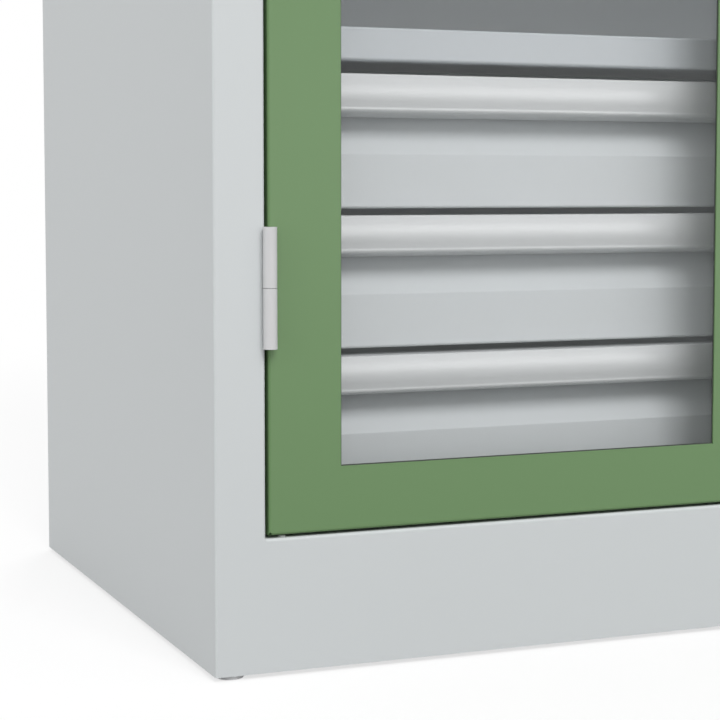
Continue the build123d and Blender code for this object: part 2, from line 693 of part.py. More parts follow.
def lock_cam():
    """Disc on the spindle with a crank pin for each rod, both pins on a slant at rest."""
    start, end = (LOCK_X, CAM_FRONT, LOCK_HEIGHT), (LOCK_X, CAM_FRONT + CAM_PLATE, LOCK_HEIGHT)
    cam = round_bar(CAM_RADIUS, start, end, "y") - round_bar(SPINDLE_RADIUS, start, end, "y")
    reach = CRANK / math.sqrt(2.0)
    for side in (1, -1):
        x, z = LOCK_X + side * reach, LOCK_HEIGHT - side * reach
        pin_end = (x, ROD_BACK + ROD_STANDOFF, z)
        cam += round_bar(CRANK_PIN_RADIUS, (x, CAM_FRONT + CAM_PLATE, z), pin_end, "y")
    return cam


def lock_rod(side):
    """Flat bolt rod, side 1 upwards or -1 downwards, with a cross slot that its crank pin works in."""
    x = LOCK_X + side * CRANK
    pin_z = LOCK_HEIGHT - side * CRANK / math.sqrt(2.0)
    slot_half = CRANK_PIN_RADIUS + YOKE_PLAY
    reach = CRANK - CRANK / math.sqrt(2.0)
    inner, outer = x - side * (reach + slot_half), x + side * slot_half
    across = sorted((inner - side * GUIDE_WALL, outer + side * GUIDE_WALL))
    depth = (ROD_FRONT, ROD_BACK)
    yoke = block(across, depth, (pin_z - slot_half - GUIDE_WALL, pin_z + slot_half + GUIDE_WALL))
    end = DOOR_TOP - ROD_END_BACK if side > 0 else DOOR_BOTTOM + ROD_END_BACK
    bar = block((x - ROD_WIDTH / 2, x + ROD_WIDTH / 2), depth, sorted((pin_z, end)))
    slot = block(sorted((inner, outer)), depth, (pin_z - slot_half, pin_z + slot_half))
    return yoke + bar - slot


def rod_guides():
    """Bridges on the right door's inside that keep the rods to their line."""
    half = ROD_WIDTH / 2 + ROD_CLEARANCE
    guides = []
    for x, z in ((LOCK_X + CRANK, DOOR_TOP - GUIDE_END), (LOCK_X - CRANK, DOOR_BOTTOM + GUIDE_END)):
        rise = (z - GUIDE_HEIGHT / 2, z + GUIDE_HEIGHT / 2)
        outer = (x - half - GUIDE_WALL, x + half + GUIDE_WALL)
        body = block(outer, (DOOR_FACE, ROD_BACK + ROD_CLEARANCE + GUIDE_WALL), rise)
        way = block((x - half, x + half), (ROD_FRONT - ROD_CLEARANCE, ROD_BACK + ROD_CLEARANCE), rise)
        guides.append(body - way)
    return group(guides)


def pieces():
    """Every piece of the cabinet, by node name."""
    made = {
        "left_side_panel": side_panel(),
        "plinth": plinth(),
        "header": header(),
        "rear_panel": rear_panel(),
        "top_panel": top_panel(),
        "base_panel": base_panel(),
        "foot_gussets": foot_gussets(),
        "foot_nuts": foot_nuts(),
        "left_shelf_posts": shelf_posts(),
        "shelf_clips": shelf_clips(),
        "left_drawer_carrier": drawer_carrier(),
        "left_fixed_runners": fixed_runners(),
        "left_door_leaf": door_leaf(),
        "right_door_leaf": lock_door_leaf(),
        "left_window_pane": window_pane(),
        "left_glazing_beads": glazing_beads(),
        "left_bead_screws": bead_screws(),
        "left_frame_knuckles": frame_knuckles(),
        "left_door_knuckles": door_knuckles(),
        "left_hinge_pins": hinge_pins(),
        "door_rest_buttons": rest_buttons(),
        "magnetic_catches": magnetic_catches(),
        "lock_escutcheon": lock_escutcheon(),
        "lock_handle": lock_handle(),
        "lock_cylinder": lock_cylinder(),
        "lock_cam": lock_cam(),
        "upper_lock_rod": lock_rod(1),
        "lower_lock_rod": lock_rod(-1),
        "rod_guides": rod_guides(),
    }
    for name in [n for n in made if n.startswith("left_") and n != "left_door_leaf"]:
        made[name.replace("left_", "right_", 1)] = mirrored(made[name])
    for name, (x, y) in foot_places().items():
        made[name + "_foot"] = foot(x, y)
    for n, bottom in enumerate(SHELF_BOTTOMS, start=1):
        made[f"shelf_{n}"] = shelf(bottom)
    for n, bottom in enumerate(DRAWER_BOTTOMS, start=1):
        made[f"drawer_{n}_box"] = drawer_box(bottom)
        made[f"drawer_{n}_front"] = drawer_front(bottom)
        made[f"drawer_{n}_grip"] = drawer_grip(bottom)
        made[f"drawer_{n}_runners"] = drawer_runners(bottom)
    return made


os.makedirs("parts", exist_ok=True)
for node, shape in pieces().items():
    export_step(shape, f"parts/{node}.step")
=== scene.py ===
"""Looks of a tall steel storage cabinet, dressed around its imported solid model.

Everything is in metres in the model's own frame: +Z is up and the doors face -Y.
"""

import json
import logging
import math
from dataclasses import dataclass
from enum import Enum
from typing import Mapping, Sequence, Union

import bmesh
import bpy
from mathutils import Matrix, Vector

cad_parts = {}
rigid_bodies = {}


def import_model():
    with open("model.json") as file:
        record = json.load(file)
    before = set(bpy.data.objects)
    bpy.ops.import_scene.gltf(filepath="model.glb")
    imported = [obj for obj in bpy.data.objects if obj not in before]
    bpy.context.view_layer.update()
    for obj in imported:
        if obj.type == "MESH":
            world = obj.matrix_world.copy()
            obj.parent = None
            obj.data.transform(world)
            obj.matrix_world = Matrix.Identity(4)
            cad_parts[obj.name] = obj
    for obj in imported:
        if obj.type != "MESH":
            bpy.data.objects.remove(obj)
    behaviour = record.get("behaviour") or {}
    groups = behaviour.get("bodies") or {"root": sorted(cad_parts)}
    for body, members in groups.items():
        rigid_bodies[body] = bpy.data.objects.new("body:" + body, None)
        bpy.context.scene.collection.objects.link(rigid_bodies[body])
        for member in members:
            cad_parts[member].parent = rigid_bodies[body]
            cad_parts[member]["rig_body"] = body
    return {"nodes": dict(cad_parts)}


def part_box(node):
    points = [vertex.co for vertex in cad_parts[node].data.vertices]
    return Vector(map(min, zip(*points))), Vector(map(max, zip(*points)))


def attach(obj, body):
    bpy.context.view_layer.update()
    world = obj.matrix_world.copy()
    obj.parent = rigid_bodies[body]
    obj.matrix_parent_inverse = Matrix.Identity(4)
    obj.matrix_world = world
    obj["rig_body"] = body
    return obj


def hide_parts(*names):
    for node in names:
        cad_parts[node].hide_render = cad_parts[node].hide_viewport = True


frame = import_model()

LOG = logging.getLogger("cabinet")
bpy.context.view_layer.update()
MM = 0.001
SHARP_TURN = math.radians(50.0)
QUARTER_TURN = math.pi / 2

Pair = tuple[float, float]
Colour = tuple[float, float, float]
Shade = tuple[float, float, float, float]


class Hand(Enum):
    """Side of the cabinet that a door, foot, shelf post or runner belongs to."""

    LEFT = "left"
    RIGHT = "right"

    @property
    def outward(self) -> int:
        """Direction along X from the middle of the cabinet to this side."""
        return -1 if self is Hand.LEFT else 1

    @property
    def door(self) -> str:
        """Body of the door on this side."""
        return f"{self.value}_door"


def linear(display: Colour) -> Shade:
    """Turn a display colour into scene values by the standard screen curve.

    Args:
        display: Red, green and blue from 0 to 255 as a screen shows them.

    Returns:
        Linear red, green and blue, with full opacity.
    """
    shares = [channel / 255.0 for channel in display]
    red, green, blue = (s / 12.92 if s <= 0.04045 else ((s + 0.055) / 1.055) ** 2.4 for s in shares)
    return red, green, blue, 1.0


def shaded(colour: Shade, factor: float) -> Shade:
    """A linear colour made lighter or darker by a factor."""
    return colour[0] * factor, colour[1] * factor, colour[2] * factor, 1.0


def grey(level: float) -> Shade:
    """A linear grey, from 0 for black to 1 for white."""
    return level, level, level, 1.0


class Value:
    """A shader socket that takes part in Python arithmetic."""

    def __init__(self, graph: "Graph", socket: bpy.types.NodeSocket) -> None:
        """Wrap a socket.

        Args:
            graph: The node tree that new Math nodes go into.
            socket: The output that is wrapped.
        """
        self.graph = graph
        self.socket = socket

    def _maths(self, operation: str, first: "Term", second: "Term") -> "Value":
        """Add a Math node.

        Args:
            operation: Blender's name of the operation.
            first: The upper input.
            second: The lower input.

        Returns:
            The node's result.
        """
        return self.graph.node("ShaderNodeMath", {"operation": operation}, {0: first, 1: second})

    def __add__(self, other: "Term") -> "Value":
        """This value plus another."""
        return self._maths("ADD", self, other)

    def __radd__(self, other: "Term") -> "Value":
        """Another value plus this one."""
        return self._maths("ADD", other, self)

    def __sub__(self, other: "Term") -> "Value":
        """This value less another."""
        return self._maths("SUBTRACT", self, other)

    def __rsub__(self, other: "Term") -> "Value":
        """Another value less this one."""
        return self._maths("SUBTRACT", other, self)

    def __mul__(self, other: "Term") -> "Value":
        """This value times another."""
        return self._maths("MULTIPLY", self, other)

    def __rmul__(self, other: "Term") -> "Value":
        """Another value times this one."""
        return self._maths("MULTIPLY", other, self)

    def __or__(self, other: "Term") -> "Value":
        """The larger of the two, which joins two masks."""
        return self._maths("MAXIMUM", self, other)

    def __ror__(self, other: "Term") -> "Value":
        """The larger of another value and this one."""
        return self._maths("MAXIMUM", other, self)

    def swing(self, width: float) -> "Value":
        """A pattern between 0 and 1 moved to lie about 0 and stretched to this width."""
        return (self - 0.5) * width


Term = Union[Value, float]


class Graph:
    """Node tree of a material or of the world."""

    def __init__(self, tree: bpy.types.NodeTree) -> None:
        """Start from an empty tree.

        Args:
            tree: The tree, whose default nodes are removed.
        """
        self.tree = tree
        tree.nodes.clear()

    def node(
        self,
        kind: str,
        settings: Mapping[str, object] | None = None,
        inputs: Mapping[str | int, object] | None = None,
        output: str | int = 0,
    ) -> Value:
        """Add one node.

        Args:
            kind: Blender's type name of the node.
            settings: Properties that are set before the inputs. The key "stops" holds a ramp's stops.
            inputs: A number, colour or linked value for each named or numbered socket.
            output: The output that is handed back.

        Returns:
            The chosen output, or the first input of a node that has no output.
        """
        made = self.tree.nodes.new(kind)
        for name, setting in (settings or {}).items():
            if name == "stops":
                self._set_stops(made.color_ramp, setting)
            else:
                setattr(made, name, setting)
        for name, value in (inputs or {}).items():
            if isinstance(value, Value):
                self.tree.links.new(value.socket, made.inputs[name])
            else:
                made.inputs[name].default_value = value
        return Value(self, made.outputs[output] if made.outputs else made.inputs[0])

    @staticmethod
    def _set_stops(ramp: bpy.types.ColorRamp, stops: Sequence[Pair]) -> None:
        """Move a ramp's two default stops.

        Args:
            ramp: The new ramp.
            stops: Position and grey level of its first and its last stop.
        """
        for element, (position, level) in zip(ramp.elements, stops):
            element.position = position
            element.color = grey(level)

    def place(self) -> Value:
        """Object coordinates, in metres."""
        return self.node("ShaderNodeTexCoord", output="Object")

    def noise(self, place: Value, scale: float, detail: float = 2.0) -> Value:
        """Add a cloud pattern.

        Args:
            place: Coordinates that it follows.
            scale: Features to a metre.
            detail: Octaves of finer clouds.

        Returns:
            A value about 0.5, between 0 and 1.
        """
        inputs = {"Vector": place, "Scale": scale, "Detail": detail}
        return self.node("ShaderNodeTexNoise", None, inputs, "Fac")

    def tint(self, factor: Term, first: Value | Shade, second: Value | Shade) -> Value:
        """Mix two colours.

        Args:
            factor: 0 for the first colour, 1 for the second.
            first: A colour or a linked value.
            second: A colour or a linked value.

        Returns:
            The mixed colour.
        """
        inputs = {0: factor, 6: first, 7: second}  # by number, because the node's names repeat
        return self.node("ShaderNodeMix", {"data_type": "RGBA"}, inputs, 2)

    def mottle(self, pattern: Value, colour: Shade, dark: float, light: float) -> Value:
        """A colour that a pattern varies between a dark and a light factor."""
        return self.tint(pattern, shaded(colour, dark), shaded(colour, light))

    def bump(self, height: Value, strength: float, depth: float) -> Value:
        """Turn a height into a shading normal.

        Args:
            height: Height between 0 and 1.
            strength: Share of the full relief.
            depth: Full relief in metres.

        Returns:
            The normal.
        """
        inputs = {"Strength": strength, "Distance": depth, "Height": height}
        return self.node("ShaderNodeBump", None, inputs)

    def surface(self, **inputs: object) -> Value:
        """Add a Principled shader.

        Args:
            inputs: Its sockets, with an underscore for each blank of a name.

        Returns:
            The shader.
        """
        named = {name.replace("_", " "): value for name, value in inputs.items()}
        return self.node("ShaderNodeBsdfPrincipled", None, named)

    def blend(self, mask: Value, first: Value, second: Value) -> Value:
        """Mix two shaders, with the second one where the mask is 1."""
        return self.node("ShaderNodeMixShader", None, {0: mask, 1: first, 2: second})

    def output(self, shader: Value, kind: str = "ShaderNodeOutputMaterial") -> None:
        """Connect a shader to the output node of a material or of the world."""
        self.node(kind, None, {"Surface": shader})


@dataclass(frozen=True)
class Finish:
    """What every finish has: a name, the record's slot and its display colour."""

    name: str
    slot: str
    colour: Colour

    def material(self) -> bpy.types.Material:
        """Make the finish's material on first use.

        Returns:
            The material, which all pieces with this finish share.
        """
        known = bpy.data.materials.get(self.name)
        if known is not None:
            return known
        made = bpy.data.materials.new(self.name)
        made.use_nodes = True
        self.build(Graph(made.node_tree))
        return made

    def build(self, graph: Graph) -> None:
        """Fill the material's node tree.

        Args:
            graph: The empty tree.
        """
        raise NotImplementedError


@dataclass(frozen=True)
class PowderCoat(Finish):
    """Satin powder paint: faint clouds of tone, fine specks and an orange-peel skin."""

    roughness: float = 0.42
    gloss: float = 0.2
    clouds_per_metre: float = 2.2
    cloud_tone: float = 0.018
    cloud_sheen: float = 0.06
    peel_per_metre: float = 520.0
    peel_depth: float = 0.05 * MM
    peel_strength: float = 0.35
    peel_sheen: float = 0.10
    specks_per_metre: float = 2600.0
    speck_tone: float = 0.02
    speck_shade: float = 0.55

    def build(self, graph: Graph) -> None:
        """Fill the material's node tree.

        Args:
            graph: The empty tree.
        """
        place = graph.place()
        base = linear(self.colour)
        cloud = graph.noise(place, self.clouds_per_metre)
        speck = graph.noise(place, self.specks_per_metre, detail=1.0)
        peel = graph.noise(place, self.peel_per_metre)
        clouded = graph.mottle(cloud, base, 1.0 - self.cloud_tone, 1.0 + self.cloud_tone)
        shader = graph.surface(
            Base_Color=graph.tint(speck * self.speck_tone, clouded, shaded(base, self.speck_shade)),
            Roughness=self.roughness + peel.swing(self.peel_sheen) + cloud.swing(self.cloud_sheen),
            Specular_IOR_Level=self.gloss,
            Normal=graph.bump(peel, self.peel_strength, self.peel_depth),
        )
        graph.output(shader)


@dataclass(frozen=True)
class PlatedMetal(Finish):
    """Plated steel: a dull metal with soft flecks and fine drawing lines."""

    roughness: float = 0.34
    flecks_per_metre: float = 240.0
    fleck_dark: float = 0.86
    fleck_light: float = 1.08
    fleck_sheen: float = 0.22
    lines_per_metre: float = 1800.0
    line_stretch: float = 0.04
    line_depth: float = 0.02 * MM
    line_strength: float = 0.3
    line_sheen: float = 0.08

    def build(self, graph: Graph) -> None:
        """Fill the material's node tree.

        Args:
            graph: The empty tree.
        """
        place = graph.place()
        stretch = {"Vector": place, "Scale": (1.0, 1.0, self.line_stretch)}
        drawn = graph.node("ShaderNodeMapping", {"vector_type": "TEXTURE"}, stretch)
        fleck = graph.noise(place, self.flecks_per_metre, detail=3.0)
        line = graph.noise(drawn, self.lines_per_metre * self.line_stretch)
        shader = graph.surface(
            Base_Color=graph.mottle(fleck, linear(self.colour), self.fleck_dark, self.fleck_light),
            Metallic=1.0,
            Roughness=self.roughness + fleck.swing(self.fleck_sheen) + line.swing(self.line_sheen),
            Normal=graph.bump(line, self.line_strength, self.line_depth),
        )
        graph.output(shader)


@dataclass(frozen=True)
class MouldedPlastic(Finish):
    """Moulded plastic or rubber with an even spark-eroded grain and faint scuffs."""

    roughness: float = 0.5
    grain_per_metre: float = 1400.0
    grain_depth: float = 0.06 * MM
    grain_strength: float = 0.4
    grain_sheen: float = 0.12
    scuffs_per_metre: float = 18.0
    scuff_tone: float = 0.07
    scuff_sheen: float = 0.10

    def build(self, graph: Graph) -> None:
        """Fill the material's node tree.

        Args:
            graph: The empty tree.
        """
        place = graph.place()
        base = linear(self.colour)
        grain = graph.noise(place, self.grain_per_metre, detail=3.0)
        scuff = graph.noise(place, self.scuffs_per_metre, detail=4.0)
        shader = graph.surface(
            Base_Color=graph.mottle(scuff, base, 1.0 - self.scuff_tone, 1.0 + self.scuff_tone),
            Roughness=self.roughness + grain.swing(self.grain_sheen) + scuff.swing(self.scuff_sheen),
            Normal=graph.bump(grain, self.grain_strength, self.grain_depth),
        )
        graph.output(shader)


@dataclass(frozen=True)
class ClearSheet(Finish):
    """Polished clear plastic sheet, which shows mostly at a slant."""

    roughness: float = 0.02
    refraction: float = 1.49
    facing_alpha: float = 0.03
    slant_alpha: float = 0.30
    slant_blend: float = 0.35
    haze_per_metre: float = 9.0
    haze_roughness: float = 0.05
    haze_alpha: float = 0.01

    def build(self, graph: Graph) -> None:
        """Fill the material's node tree.

        Args:
            graph: The empty tree.
        """
        slant = graph.node("ShaderNodeLayerWeight", None, {"Blend": self.slant_blend}, "Facing")
        haze = graph.noise(graph.place(), self.haze_per_metre, detail=3.0)
        shader = graph.surface(
            Base_Color=linear(self.colour),
            Roughness=self.roughness + haze * self.haze_roughness,
            IOR=self.refraction,
            Alpha=self.facing_alpha + slant * slant * self.slant_alpha + haze * self.haze_alpha,
        )
        graph.output(shader)


CARCASS_GREY = PowderCoat("light_grey_powder_coat", "carcass_grey", (207.0, 211.0, 212.0))
# A darker copy of the carcass grey, whose slot it shares: painted shade for the shelves, which sit in shade
# inside the cabinet.
SHADED_SHELF_GREY = PowderCoat("shelf_grey_with_painted_shade", "carcass_grey", (192.0, 197.0, 201.0))
DRAWER_GREY = PowderCoat("drawer_grey_powder_coat", "carcass_grey", (202.0, 206.0, 208.0))
GRIP_GREY = PowderCoat(
    "grip_strip_grey", "grip_grey", (205.0, 207.0, 208.0), roughness=0.36, gloss=0.62, peel_depth=0.015 * MM
)
HINGE_GREY = PowderCoat("hinge_barrel_grey", "hinge_grey", (208.0, 208.0, 209.0), roughness=0.45)
DOOR_GREEN = PowderCoat("door_green_powder_coat", "door_green", (105.0, 137.0, 92.0))
CLEAR_PANE = ClearSheet("clear_pane_sheet", "clear_pane", (236.0, 242.0, 243.0))
BEAD_GREY = MouldedPlastic("glazing_bead_grey", "bead_grey", (86.0, 88.0, 88.0))
SEAL_BLACK = MouldedPlastic("pane_seal_rubber", "bead_grey", (50.0, 54.0, 50.0), roughness=0.7)
FOOT_GREY = MouldedPlastic("foot_pad_grey", "foot_grey", (228.0, 229.0, 230.0))
LOCK_BLACK = MouldedPlastic("lock_black_grained", "lock_black", (34.0, 34.0, 36.0), roughness=0.46)
ZINC = PlatedMetal("zinc_plated_steel", "zinc_steel", (168.0, 171.0, 174.0))
NICKEL = PlatedMetal("nickel_plated_plug", "plug_nickel", (214.0, 212.0, 206.0), roughness=0.2)


def add_object(name: str, data: bpy.types.ID) -> bpy.types.Object:
    """Put a mesh, lamp or camera into the scene.

    Args:
        name: The object's name.
        data: The mesh, lamp or camera.

    Returns:
        The new object, at the origin.
    """
    made = bpy.data.objects.new(name, data)
    bpy.context.scene.collection.objects.link(made)
    return made


@dataclass
class Workshop:
    """Turns meshes into finished pieces that ride on the cabinet's bodies."""

    merge_distance: float = 0.002 * MM
    flat_angle: float = math.radians(0.4)
    smooth_angle: float = math.radians(33.0)
    ease_segments: int = 2
    normal_weight: int = 70

    def copy(self, node: str) -> bmesh.types.BMesh:
        """Take a merged copy of a solid's mesh, with its flat faces whole again.

        Args:
            node: Name of the solid.

        Returns:
            The copy, which the caller uses up.
        """
        made = bmesh.new()
        made.from_mesh(frame["nodes"][node].data)
        bmesh.ops.remove_doubles(made, verts=made.verts, dist=self.merge_distance)
        bmesh.ops.dissolve_limit(
            made,
            angle_limit=self.flat_angle,
            use_dissolve_boundaries=False,
            verts=made.verts,
            edges=made.edges,
        )
        return made

    def islands(self, node: str) -> list[tuple[Vector, Vector]]:
        """Find the separate solids that share a node.

        Args:
            node: Name of the node.

        Returns:
            Lowest and highest corner of each solid.
        """
        made = self.copy(node)
        waiting = set(made.verts)
        boxes = []
        while waiting:
            group = [waiting.pop()]
            for vert in group:
                near = {edge.other_vert(vert) for edge in vert.link_edges} & waiting
                waiting -= near
                group.extend(near)
            spans = [[vert.co[axis] for vert in group] for axis in range(3)]
            boxes.append((Vector(map(min, spans)), Vector(map(max, spans))))
        made.free()
        return sorted(boxes, key=lambda box: tuple(box[0]))

    def revolve(self, outline: Sequence[Pair], centre: Vector, sides: int) -> bmesh.types.BMesh:
        """Spin an outline about an upright axis into a closed solid.

        Args:
            outline: Radius and height of each point, from the axis back to the axis.
            centre: Foot of the axis.
            sides: Faces round the axis.

        Returns:
            The solid, which the caller turns into a piece.
        """
        made = bmesh.new()
        points = [made.verts.new((radius, 0.0, height)) for radius, height in outline]
        edges = [made.edges.new(pair) for pair in zip(points, points[1:])]
        bmesh.ops.spin(
            made,
            geom=points + edges,
            cent=(0.0, 0.0, 0.0),
            axis=(0.0, 0.0, 1.0),
            angle=2.0 * math.pi,
            steps=sides,
            use_merge=True,
        )
        bmesh.ops.remove_doubles(made, verts=made.verts, dist=self.merge_distance)
        bmesh.ops.recalc_face_normals(made, faces=made.faces)
        bmesh.ops.translate(made, verts=made.verts, vec=centre)
        return made

    def soften(self, mesh: bmesh.types.BMesh, width: float, over: float) -> None:
        """Round a mesh's sharp edges.

        Args:
            mesh: The mesh to change.
            width: How far the rounding reaches from each edge.
            over: Edges that turn by more than this angle are rounded.
        """
        sharp = [edge for edge in mesh.edges if edge.is_manifold and edge.calc_face_angle(0.0) > over]
        bmesh.ops.bevel(
            mesh,
            geom=sharp,
            offset=width,
            offset_type="OFFSET",
            affect="EDGES",
            segments=self.ease_segments,
            profile=0.5,
            material=-1,
            clamp_overlap=True,
        )

    def piece(
        self, name: str, mesh: bmesh.types.BMesh, finish: Finish, body: str, stands_for: Sequence[str] = ()
    ) -> None:
        """Finish a mesh as a piece of the cabinet.

        Args:
            name: The piece's name.
            mesh: Its shape, in place, which is used up.
            finish: Its surface.
            body: The body that it moves with.
            stands_for: The solids that it replaces.
        """
        data = bpy.data.meshes.new(name)
        mesh.to_mesh(data)
        mesh.free()
        carried = data.attributes.get("custom_normal")
        if carried:
            data.attributes.remove(carried)  # the solid's own shading, which the new faces don't fit
        data.shade_smooth()
        data.set_sharp_from_angle(angle=self.smooth_angle)
        data.materials.append(finish.material())
        made = add_object(name, data)
        weighted = made.modifiers.new("even_shading", "WEIGHTED_NORMAL")
        weighted.keep_sharp = True
        weighted.weight = self.normal_weight
        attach(made, body)
        made.parent.rotation_mode = "QUATERNION"  # stays exact at quarter turns
        if stands_for:
            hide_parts(*stands_for)
        LOG.info("%s: %d faces on %s", name, len(data.polygons), body)

    def dress(self, node: str, finish: Finish, ease: float = 0.0, over: float = SHARP_TURN) -> None:
        """Replace a solid by a smooth copy with a finish.

        Args:
            node: Name of the solid.
            finish: Its surface.
            ease: Rounding of its sharp edges, or 0 for none.
            over: Edges that turn by more than this angle are rounded.
        """
        mesh = self.copy(node)
        if ease > 0.0:
            self.soften(mesh, ease, over)
        self.piece(f"{node}_finished", mesh, finish, frame["nodes"][node]["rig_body"], [node])


@dataclass
class Carcass:
    """Folded shell: side walls with stiles, plinth, header, rear, top and floor."""

    shop: Workshop
    rear_flange: float = 18.0 * MM
    weld_step: float = 0.12
    weld_radius: float = 3.2 * MM
    weld_crown: float = 1.76 * MM
    weld_rise: float = 0.25 * MM
    weld_sides: int = 20
    cover_edge: float = 0.5 * MM
    folded_sheets: Sequence[str] = ("left_side_panel", "right_side_panel", "plinth", "header", "base_panel")

    def build(self) -> None:
        """Dress the sheets and add the weld marks on the rear flanges."""
        for node in self.folded_sheets:
            self.shop.dress(node, CARCASS_GREY)
        self.shop.dress("top_panel", CARCASS_GREY, self.cover_edge)
        self.shop.dress("rear_panel", CARCASS_GREY)
        for hand in Hand:
            self._weld_marks(hand)

    def _weld_marks(self, hand: Hand) -> None:
        """Raise a row of shallow spot-weld marks on one rear flange.

        Args:
            hand: Side of the flange.
        """
        low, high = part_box(f"{hand.value}_side_panel")
        x = (low.x if hand is Hand.LEFT else high.x) - hand.outward * self.rear_flange / 2
        y = high.y + self.weld_rise / 2
        count = int((high.z - low.z) // self.weld_step)
        mesh = bmesh.new()
        for number in range(count):
            z = low.z + (number + 0.5) * (high.z - low.z) / count
            bmesh.ops.create_cone(
                mesh,
                cap_ends=True,
                segments=self.weld_sides,
                radius1=self.weld_crown,
                radius2=self.weld_radius,
                depth=self.weld_rise,
                matrix=Matrix.Translation((x, y, z)) @ Matrix.Rotation(QUARTER_TURN, 4, "X"),
            )
        bmesh.ops.recalc_face_normals(mesh, faces=mesh.faces)
        self.shop.piece(f"{hand.value}_flange_welds", mesh, CARCASS_GREY, "carcass")


@dataclass
class LevellingFeet:
    """Four screw feet in corner gussets: flat pad, threaded stem and nut.

    The thread's form gives each corner of a turn as shares of the pitch and of the depth.
    """

    shop: Workshop
    sides: int = 40
    pad_height: float = 5.0 * MM
    pad_edge: float = 0.6 * MM
    pad_round: float = 0.18 * MM
    stem_radius: float = 3.95 * MM
    thread_pitch: float = 1.25 * MM
    thread_depth: float = 0.55 * MM
    thread_form: Sequence[Pair] = ((0.25, 1.0), (0.45, 1.0), (0.75, 0.0), (0.95, 0.0))
    gusset_edge: float = 0.4 * MM
    nut_edge: float = 0.5 * MM
    ends: Sequence[str] = ("front", "rear")

    def build(self) -> None:
        """Make the four feet and dress their gussets and nuts."""
        for end in self.ends:
            for hand in Hand:
                self._foot(f"{end}_{hand.value}")
        self.shop.dress("foot_gussets", CARCASS_GREY, self.gusset_edge)
        self.shop.dress("foot_nuts", ZINC, self.nut_edge)

    def _foot(self, corner: str) -> None:
        """Make one foot.

        Args:
            corner: Corner of the cabinet that it stands under.
        """
        node = f"{corner}_foot"
        low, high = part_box(node)
        centre = Vector(((low.x + high.x) / 2, (low.y + high.y) / 2, low.z))
        outline = self._pad((high.x - low.x) / 2) + self._stem(high.z - low.z)
        mesh = self.shop.revolve(outline, centre, self.sides)
        self.shop.piece(f"{corner}_levelling_foot", mesh, FOOT_GREY, f"{corner}_leveller", [node])

    def _pad(self, radius: float) -> list[Pair]:
        """Draw the pad, with both its rims rounded.

        Args:
            radius: The pad's radius.

        Returns:
            Radius and height of each point, from the axis on the floor to the pad's upper face.
        """
        edge, bend, top = self.pad_edge, self.pad_round, self.pad_height
        lower_rim = [(radius - edge, 0.0), (radius - bend, bend), (radius, edge)]
        upper_rim = [(reach, top - height) for reach, height in reversed(lower_rim)]
        return [(0.0, 0.0), *lower_rim, *upper_rim]

    def _stem(self, top: float) -> list[Pair]:
        """Draw the threaded stem, whose last turn tapers to its end.

        Args:
            top: Height of its end above the floor.

        Returns:
            Radius and height of each point, from the pad's upper face to the axis.
        """
        crest, foot = self.stem_radius, self.pad_height
        turns = int((top - foot) / self.thread_pitch) - 1
        thread = [
            (crest - cut * self.thread_depth, foot + (turn + rise) * self.thread_pitch)
            for turn in range(turns)
            for rise, cut in self.thread_form
        ]
        return [(crest, foot), *thread, (crest - self.thread_depth, top), (0.0, top)]


@dataclass
class Shelving:
    """Perforated posts, clips and four lipped shelves."""

    shop: Workshop
    shelves: int = 4
    clip_edge: float = 0.3 * MM

    def build(self) -> None:
        """Dress the posts, clips and shelves."""
        for hand in Hand:
            self.shop.dress(f"{hand.value}_shelf_posts", CARCASS_GREY)
        self.shop.dress("shelf_clips", ZINC, self.clip_edge)
        for number in range(1, self.shelves + 1):
            # the shelves take the darker grey that carries painted shade
            self.shop.dress(f"shelf_{number}", SHADED_SHELF_GREY)


@dataclass
class DrawerStack:
    """Three drawers with folded fronts and rounded grips, on runners between two carriers."""

    shop: Workshop
    drawers: int = 3
    box_edge: float = 0.2 * MM
    runner_edge: float = 0.5 * MM

    def build(self) -> None:
        """Dress the drawers and what carries them."""
        for number in range(1, self.drawers + 1):
            self.shop.dress(f"drawer_{number}_box", DRAWER_GREY, self.box_edge)
            self.shop.dress(f"drawer_{number}_front", DRAWER_GREY)
            self.shop.dress(f"drawer_{number}_grip", GRIP_GREY)
            self.shop.dress(f"drawer_{number}_runners", ZINC, self.runner_edge)
        for hand in Hand:
            self.shop.dress(f"{hand.value}_drawer_carrier", CARCASS_GREY)
            self.shop.dress(f"{hand.value}_fixed_runners", ZINC)


